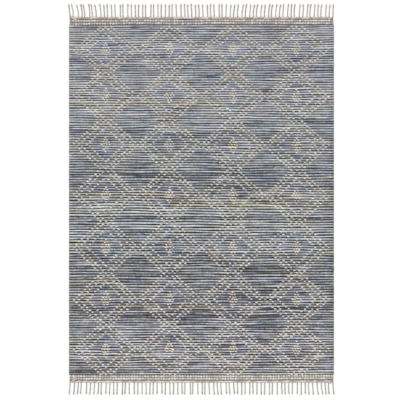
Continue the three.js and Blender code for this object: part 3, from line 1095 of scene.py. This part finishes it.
    # Each yarn of a rib is round and twisted, so its plies cross it at a slant
    within_yarn = add_node(tree, "ShaderNodeMath", {"operation": "FRACT"}, {0: yarns}).outputs[0]
    across_yarn = add_node(tree, "ShaderNodeMath", {"operation": "SUBTRACT"}, {
        0: within_yarn, 1: 0.5,
    }).outputs[0]
    falling_away = add_node(tree, "ShaderNodeMath", {"operation": "MULTIPLY"}, {
        0: across_yarn, 1: across_yarn,
    }).outputs[0]
    turns = add_node(tree, "ShaderNodeMath", {"operation": "MULTIPLY_ADD"}, {
        0: x, 1: 1 / PLY_PITCH, 2: across_yarn,
    }).outputs[0]
    turns = add_node(tree, "ShaderNodeMath", {"operation": "ADD"}, {0: turns, 1: yarn_row}).outputs[0]
    angle = add_node(tree, "ShaderNodeMath", {"operation": "MULTIPLY"}, {
        0: turns, 1: 2 * math.pi,
    }).outputs[0]
    ply = add_node(tree, "ShaderNodeMath", {"operation": "SINE"}, {0: angle}).outputs[0]
    height = 1.0
    for part, weight in ((falling_away, -4.0), (ply, PLY_RELIEF), (fibre, FIBRE_RELIEF)):
        height = add_node(tree, "ShaderNodeMath", {"operation": "MULTIPLY_ADD"}, {
            0: part, 1: weight, 2: height,
        }).outputs[0]
    bump = add_node(tree, "ShaderNodeBump", {}, {"Strength": 0.6, "Distance": 0.9 * MM, "Height": height})
    rough = add_node(tree, "ShaderNodeMapRange", {}, {0: fleck, 3: 0.86, 4: 0.98}).outputs[0]
    shader = add_node(tree, "ShaderNodeBsdfPrincipled", {}, {
        "Base Color": colour, "Roughness": rough, "Normal": bump.outputs[0],
        "Sheen Weight": 0.12, "Sheen Roughness": 0.6, "Specular IOR Level": 0.2,
    })
    add_node(tree, "ShaderNodeOutputMaterial", {}, {0: shader.outputs[0]})
    return material


COTTON_STOPS = (0.15, 0.5, 0.85)
LOOP_TINTS = ((0.975, 1.0, 1.035), (1.04, 1.0, 0.94))
TWINING_TINTS = ((0.955, 1.0, 1.045), (1.0, 0.975, 1.02))
MOTTLE_LENGTH = 9 * MM
MOTTLE_SHARE = 0.45        # beside the tone of the turn
COTTON_FIBRE_LENGTH = 1.2 * MM


def cotton_material(name, shades, tints, plies):
    """Undyed cotton yarn: soft, matt, off-white. Its three shades are for the darkest to the lightest turns
    and its two tints for the bluest and the warmest ones. Its plies show as slanting lines, and plies is
    how many there are to a metre of the template."""
    material, tree = start_material(name)
    tone = add_node(tree, "ShaderNodeAttribute", {"attribute_name": "tone"}).outputs["Fac"]
    warm = add_node(tree, "ShaderNodeAttribute", {"attribute_name": "warmth"}).outputs["Fac"]
    along = add_node(tree, "ShaderNodeAttribute", {"attribute_name": "along"}).outputs["Vector"]
    place = add_node(tree, "ShaderNodeTexCoord").outputs["Object"]
    mottle = add_node(tree, "ShaderNodeTexNoise", {}, {
        "Vector": place, "Scale": 1 / MOTTLE_LENGTH, "Detail": 3.0, "Roughness": 0.6,
    }).outputs[0]
    mixed = add_node(tree, "ShaderNodeMix", {"data_type": "FLOAT"}, {
        0: MOTTLE_SHARE, 2: tone, 3: mottle,
    }).outputs[0]
    colour = add_node(tree, "ShaderNodeValToRGB", {}, {0: mixed}, stops=[
        (stop, linear(shade)) for stop, shade in zip(COTTON_STOPS, shades)
    ]).outputs[0]
    warmer = add_node(tree, "ShaderNodeMapRange", {}, {0: warm, 1: -1.0, 2: 1.0}).outputs[0]
    tint = add_node(tree, "ShaderNodeValToRGB", {}, {0: warmer}, stops=[
        (0.0, (*tints[0], 1)), (0.5, (1, 1, 1, 1)), (1.0, (*tints[1], 1)),
    ]).outputs[0]
    colour = add_node(tree, "ShaderNodeMix", {"data_type": "RGBA", "blend_type": "MULTIPLY"}, {
        0: 1.0, 6: colour, 7: tint,
    }).outputs[2]
    spot = add_node(tree, "ShaderNodeSeparateXYZ", {}, {0: along})
    slant = add_node(tree, "ShaderNodeMath", {"operation": "ADD"}, {
        0: spot.outputs[0], 1: spot.outputs[1],
    }).outputs[0]
    angle = add_node(tree, "ShaderNodeMath", {"operation": "MULTIPLY"}, {
        0: slant, 1: plies * 2 * math.pi,
    }).outputs[0]
    lines = add_node(tree, "ShaderNodeMath", {"operation": "SINE"}, {0: angle}).outputs[0]
    fibre = add_node(tree, "ShaderNodeTexNoise", {}, {
        "Vector": place, "Scale": 1 / COTTON_FIBRE_LENGTH, "Detail": 2.0, "Roughness": 0.6,
    }).outputs[0]
    height = add_node(tree, "ShaderNodeMath", {"operation": "MULTIPLY_ADD"}, {
        0: lines, 1: 0.5, 2: fibre,
    }).outputs[0]
    bump = add_node(tree, "ShaderNodeBump", {}, {"Strength": 0.6, "Distance": 0.5 * MM, "Height": height})
    rough = add_node(tree, "ShaderNodeMapRange", {}, {0: mottle, 3: 0.82, 4: 0.97}).outputs[0]
    shader = add_node(tree, "ShaderNodeBsdfPrincipled", {}, {
        "Base Color": colour, "Roughness": rough, "Normal": bump.outputs[0],
        "Sheen Weight": 0.15, "Sheen Roughness": 0.5, "Specular IOR Level": 0.2,
    })
    add_node(tree, "ShaderNodeOutputMaterial", {}, {0: shader.outputs[0]})
    return material


def dress(piece, material):
    """Gives a piece its material and slot, and lets it ride on the rug's one body."""
    piece.data.materials.clear()
    piece.data.materials.append(material)
    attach(piece, "root")


# Floor, light and camera

FRAME_PIXELS = 400
PIXEL = 2 * HALF_WIDTH / 264.9   # the cloth is 264.9 pixels wide in the photograph
PHOTO_MIDDLE = (201.4, 199.25)   # pixel on which the middle of the rug falls
CAMERA_HEIGHT = 12.0
SENSOR = 36.0
SKY_STRENGTH = 0.80
LAMP_STRENGTH = 1.45
LAMP_SOFTNESS = 20         # degrees
LAMP_FROM = (-0.4, 0.5, 1.0)


def lay_floor():
    """A plain pale floor."""
    bm = bmesh.new()
    bmesh.ops.create_grid(bm, x_segments=1, y_segments=1, size=20)
    mesh = bpy.data.meshes.new("floor")
    bm.to_mesh(mesh)
    bm.free()
    floor = put(bpy.data.objects.new("floor", mesh))
    material, tree = start_material("pale_floor")
    shader = add_node(tree, "ShaderNodeBsdfPrincipled", {}, {
        "Base Color": linear("#f2f2f2"), "Roughness": 0.9, "Specular IOR Level": 0.1,
    })
    add_node(tree, "ShaderNodeOutputMaterial", {}, {0: shader.outputs[0]})
    floor.data.materials.append(material)


def light_studio():
    """Even light from all round, and a soft lamp beyond the head end."""
    world = bpy.data.worlds.new("studio")
    world.use_nodes = True
    sky = world.node_tree.nodes["Background"]
    sky.inputs[0].default_value = (1, 1, 1, 1)
    sky.inputs[1].default_value = SKY_STRENGTH
    bpy.context.scene.world = world
    lamp = bpy.data.lights.new("soft_lamp", "SUN")
    lamp.energy = LAMP_STRENGTH
    lamp.angle = math.radians(LAMP_SOFTNESS)
    holder = put(bpy.data.objects.new("soft_lamp", lamp))
    holder.rotation_euler = Vector(LAMP_FROM).to_track_quat("Z", "Y").to_euler()


def place_camera():
    """Straight above, framed as the photograph is."""
    camera = bpy.data.cameras.new("camera")
    camera.sensor_width = SENSOR
    camera.lens = SENSOR * CAMERA_HEIGHT / (FRAME_PIXELS * PIXEL)
    holder = put(bpy.data.objects.new("camera", camera))
    holder.location = (
        (FRAME_PIXELS / 2 - PHOTO_MIDDLE[0]) * PIXEL,
        (PHOTO_MIDDLE[1] - FRAME_PIXELS / 2) * PIXEL,
        CAMERA_HEIGHT,
    )
    bpy.context.scene.camera = holder


# The rug

place_camera()
light_studio()
lay_floor()
bpy.context.scene.view_settings.view_transform = "Standard"

weft = weft_material()
loop_cotton = cotton_material("loop_cotton", ("#bbb9b9", "#d9d8d8", "#eceaea"), LOOP_TINTS, 330)
lozenge_cotton = cotton_material("lozenge_cotton", ("#c8bfb7", "#f1e8e0", "#fdf8f3"), LOOP_TINTS, 330)
twining_cotton = cotton_material("twining_cotton", ("#a8a098", "#c8c0b7", "#e0d9d1"), TWINING_TINTS, 1.6)
# The web's dark brown is partly warp yarn and partly painted shade between the twined cells
web_cotton_and_shade = cotton_material("band_web_cotton_and_shade", ("#736b65", "#877f79", "#999189"), TWINING_TINTS, 0)
# The cords and knots are cream cotton; their greyer taupe is partly painted shade
cord_cotton_and_shade = cotton_material("cord_cotton_and_shade", ("#a0988f", "#b0a8a1", "#c1bab3"), TWINING_TINTS, 0)

cloth = weave_cloth()
dress(cloth, weft)
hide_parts("woven_field")
goes_along = []
for kind, piece in raise_loops().items():
    dress(piece, lozenge_cotton if kind == "lozenge" else loop_cotton)
    goes_along.append(piece)
stray = tuck_stray_yarn()
dress(stray, weft)
goes_along.append(stray)
for end, side in (("head", 1), ("foot", -1)):
    twining, web = twine_end(end, side)
    dress(twining, twining_cotton)
    dress(web, web_cotton_and_shade)
    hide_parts(f"end_band_{end}")
    cords, knots = knot_fringe(end)
    dress(cords, cord_cotton_and_shade)
    dress(knots, cord_cotton_and_shade)
    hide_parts(f"fringe_{end}")
    goes_along += [twining, web, cords, knots]
